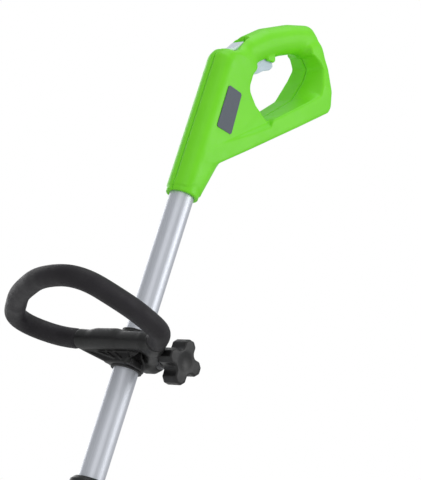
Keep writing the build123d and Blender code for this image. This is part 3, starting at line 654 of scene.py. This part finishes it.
def bracket_distance(x, y, z):
    """Moulded clamp of the assist handle."""
    p = (x, y, z)
    bar = capsule(p, on_loop(*BAR[0]), on_loop(*BAR[1]), BAR_R)
    for a, b in zip(BAR[1:-1], BAR[2:]):
        bar = join(bar, capsule(p, on_loop(*a), on_loop(*b), BAR_R), 1)
    hump = capsule(p, on_loop(*HUMP[0]), on_loop(*HUMP[1]), HUMP_R)
    bar = join(bar, hump, 6)
    bar = cut(bar, BAR_END_Y - y, 0.5)
    r = np.hypot(x, y)
    sleeve = drum(r, z, SLEEVE_R, SLEEVE_END_Z, SLEEVE_TOP_Z, 1.2)
    lugs = block(p, *LUGS)
    radius, half, edge = LUG_BOSS
    boss = slab(np.hypot(x - BOLT[0], z - BOLT[1]) - radius, y, half, edge)
    body = join(sleeve, join(lugs, boss, 2), 4)
    stub = capsule(p, on_loop(*STUB[0]), on_loop(*STUB[1]), BAR_R)
    past_end = LOOP_END_WAY[1] * (LOOP_END[1] - y) + LOOP_END_WAY[0] * (LOOP_END[0] - x)
    stub = meet(stub, past_end, 0.5)
    neck = capsule(p, on_loop(*NECK[0]), on_loop(*NECK[1]), NECK_R)
    body = join(body, join(stub, neck, 8), 5)
    body = join(body, bar, 5)
    web = outline_distance(np.array(WEB_FACE, float), -y, z)
    body = join(body, slab(web, x + 18, 3, 0.8), 2)
    foot = outline_distance(np.array(FOOT, float), -y, z)
    body = join(body, slab(foot, x + 10, 9, 1), 1)
    for a, b in RIBS:
        rib = capsule(p, (RIB_X, *a), (RIB_X, *b), RIB_R)
        body = join(body, rib, 0.4)
    return body


def assist_bracket():
    """The clamp with its bore, split, bolt hole and nut pocket."""
    low, high, pitch = BRACKET_GRID
    x, y, z = grid(low, high, pitch)
    body = bracket_distance(x, y, z)
    r = np.hypot(x, y)
    body = cut(body, r - LINER_R, 0.5)
    body = cut(body, block((x, y, z), *SPLIT), 0.5)
    across = np.hypot(x - BOLT[0], z - BOLT[1])
    body = cut(body, across - BOLT_R, 0.3)
    body = cut(body, np.maximum(across - NUT_POCKET[0], NUT_POCKET[1] - y), 0.5)
    points, faces = skin(body, low, pitch)
    make_piece("clamp_bracket", points, faces, "assist_handle", "black_plastic",
               ["assist_bracket"])


def knob():
    """Four-armed knob with softened edges and a shallow dish in its face."""
    low, high, pitch = KNOB_GRID
    x, y, z = grid(low, high, pitch)
    u, v = x - BOLT[0], z - BOLT[1]
    across = np.hypot(u, v)
    star = across - KNOB_CORE_R
    for a, b in ((u, v), (v, u)):
        arm = np.maximum(np.abs(a) - KNOB_R, np.abs(b) - KNOB_ARM_W)
        corner = np.abs(a) + np.abs(b) - KNOB_R - KNOB_ARM_W + KNOB_ARM_CHAMFER
        arm = np.maximum(arm, corner * 0.7071)
        star = join(star, arm, 3)
    middle, half = (KNOB_FACE_Y + KNOB_END_Y) / 2, (KNOB_FACE_Y - KNOB_END_Y) / 2
    body = slab(star, y - middle, half, KNOB_EDGE)
    dish = np.hypot(across, y - KNOB_END_Y + KNOB_DISH_OUT) - KNOB_DISH_R
    body = cut(body, dish, 1.5)
    hub = drum(across, y, HUB_R, KNOB_FACE_Y - 2, HUB_END_Y, 0.8)
    body = join(body, hub, 2)
    body = cut(body, np.maximum(across - BOLT_R - 0.4, KNOB_END_Y + 8 - y), 0.3)
    points, faces = skin(body, low, pitch)
    make_piece("star_knob", points, faces, "clamp_knob", "black_plastic", ["clamp_knob"])


# ------------------------------------------------------------------ scene


def dress_nodes():
    """Gives every CAD node that still shows the material of its slot."""
    for row in frame["record"]["subparts"]:
        node = frame["nodes"][row["node"]]
        node.data.materials.clear()
        node.data.materials.append(MATERIALS[row["material_slot"]])


def camera():
    """Camera below and to the side, rolled as if the tool were held at a slant."""
    azimuth, rise, distance = radians(43), radians(-17.7), 1.95
    aim = Vector((0.06287, 0, 0.06012))
    data = bpy.data.cameras.new("camera")
    data.lens = 133.71
    data.sensor_width = 36.0
    data.clip_end = 100
    lens = bpy.data.objects.new("camera", data)
    bpy.context.scene.collection.objects.link(lens)
    lens.location = distance * Vector((-sin(azimuth) * cos(rise), -cos(azimuth) * cos(rise),
                                       sin(rise)))
    facing = (aim - lens.location).to_track_quat("-Z", "Y")
    lens.rotation_mode = "QUATERNION"
    lens.rotation_quaternion = facing @ Quaternion((0, 0, 1), radians(17.253))
    bpy.context.scene.camera = lens


def softbox(name, place, aim, size, power, colour=(1, 1, 1)):
    """Area light that faces a point."""
    data = bpy.data.lights.new(name, "AREA")
    data.shape = "RECTANGLE"
    data.size, data.size_y = size
    data.energy = power
    data.color = colour
    light = bpy.data.objects.new(name, data)
    bpy.context.scene.collection.objects.link(light)
    light.location = place
    light.rotation_mode = "QUATERNION"
    light.rotation_quaternion = (Vector(aim) - Vector(place)).to_track_quat("-Z", "Y")
    light.visible_camera = False


def lights():
    """Four softboxes and a pale studio world, white behind the object."""
    middle = (0, 0, 0.05)
    softbox("key", (1.3, -2.2, 1.0), middle, (1.4, 1.8), 22)
    softbox("fill", (-2.2, -1.6, 0.4), middle, (1.8, 1.8), 11)
    softbox("top", (-0.4, -0.2, 2.4), middle, (1.8, 1.8), 17)
    softbox("back", (0.6, 2.4, 0.8), middle, (1.6, 1.6), 16)
    world = bpy.data.worlds.new("studio")
    world.use_nodes = True
    nodes, links = world.node_tree.nodes, world.node_tree.links
    seen = nodes.new("ShaderNodeBackground")
    seen.inputs["Color"].default_value = (1, 1, 1, 1)
    lit = nodes["Background"]
    lit.inputs["Color"].default_value = (0.96, 0.98, 1, 1)
    lit.inputs["Strength"].default_value = 0.5
    ray = nodes.new("ShaderNodeLightPath")
    mix = nodes.new("ShaderNodeMixShader")
    links.new(ray.outputs["Is Camera Ray"], mix.inputs["Fac"])
    links.new(lit.outputs["Background"], mix.inputs[1])
    links.new(seen.outputs["Background"], mix.inputs[2])
    links.new(mix.outputs["Shader"], nodes["World Output"].inputs["Surface"])
    bpy.context.scene.world = world


def floor():
    """Plain pale floor under the lowest point."""
    half, height = 6.0, cad_box[0].z - 0.001
    mesh = bpy.data.meshes.new("floor")
    mesh.from_pydata([(-half, -half, height), (half, -half, height), (half, half, height),
                      (-half, half, height)], [], [(0, 1, 2, 3)])
    look = Look("floor")
    tone = look.ranged(look.noise(2.0), 0.3, 0.7, 0, 1)
    look.paint(look.blended(tone, (0.80, 0.80, 0.79), (0.84, 0.84, 0.83)))
    look.set(Roughness=0.85)
    mesh.materials.append(look.material)
    ground = bpy.data.objects.new("floor", mesh)
    bpy.context.scene.collection.objects.link(ground)


MATERIALS = make_materials()
camera()
lights()
floor()
dress_nodes()
handle_shells()
foam_grip()
assist_bracket()
knob()
bpy.context.scene.view_settings.view_transform = "Standard"
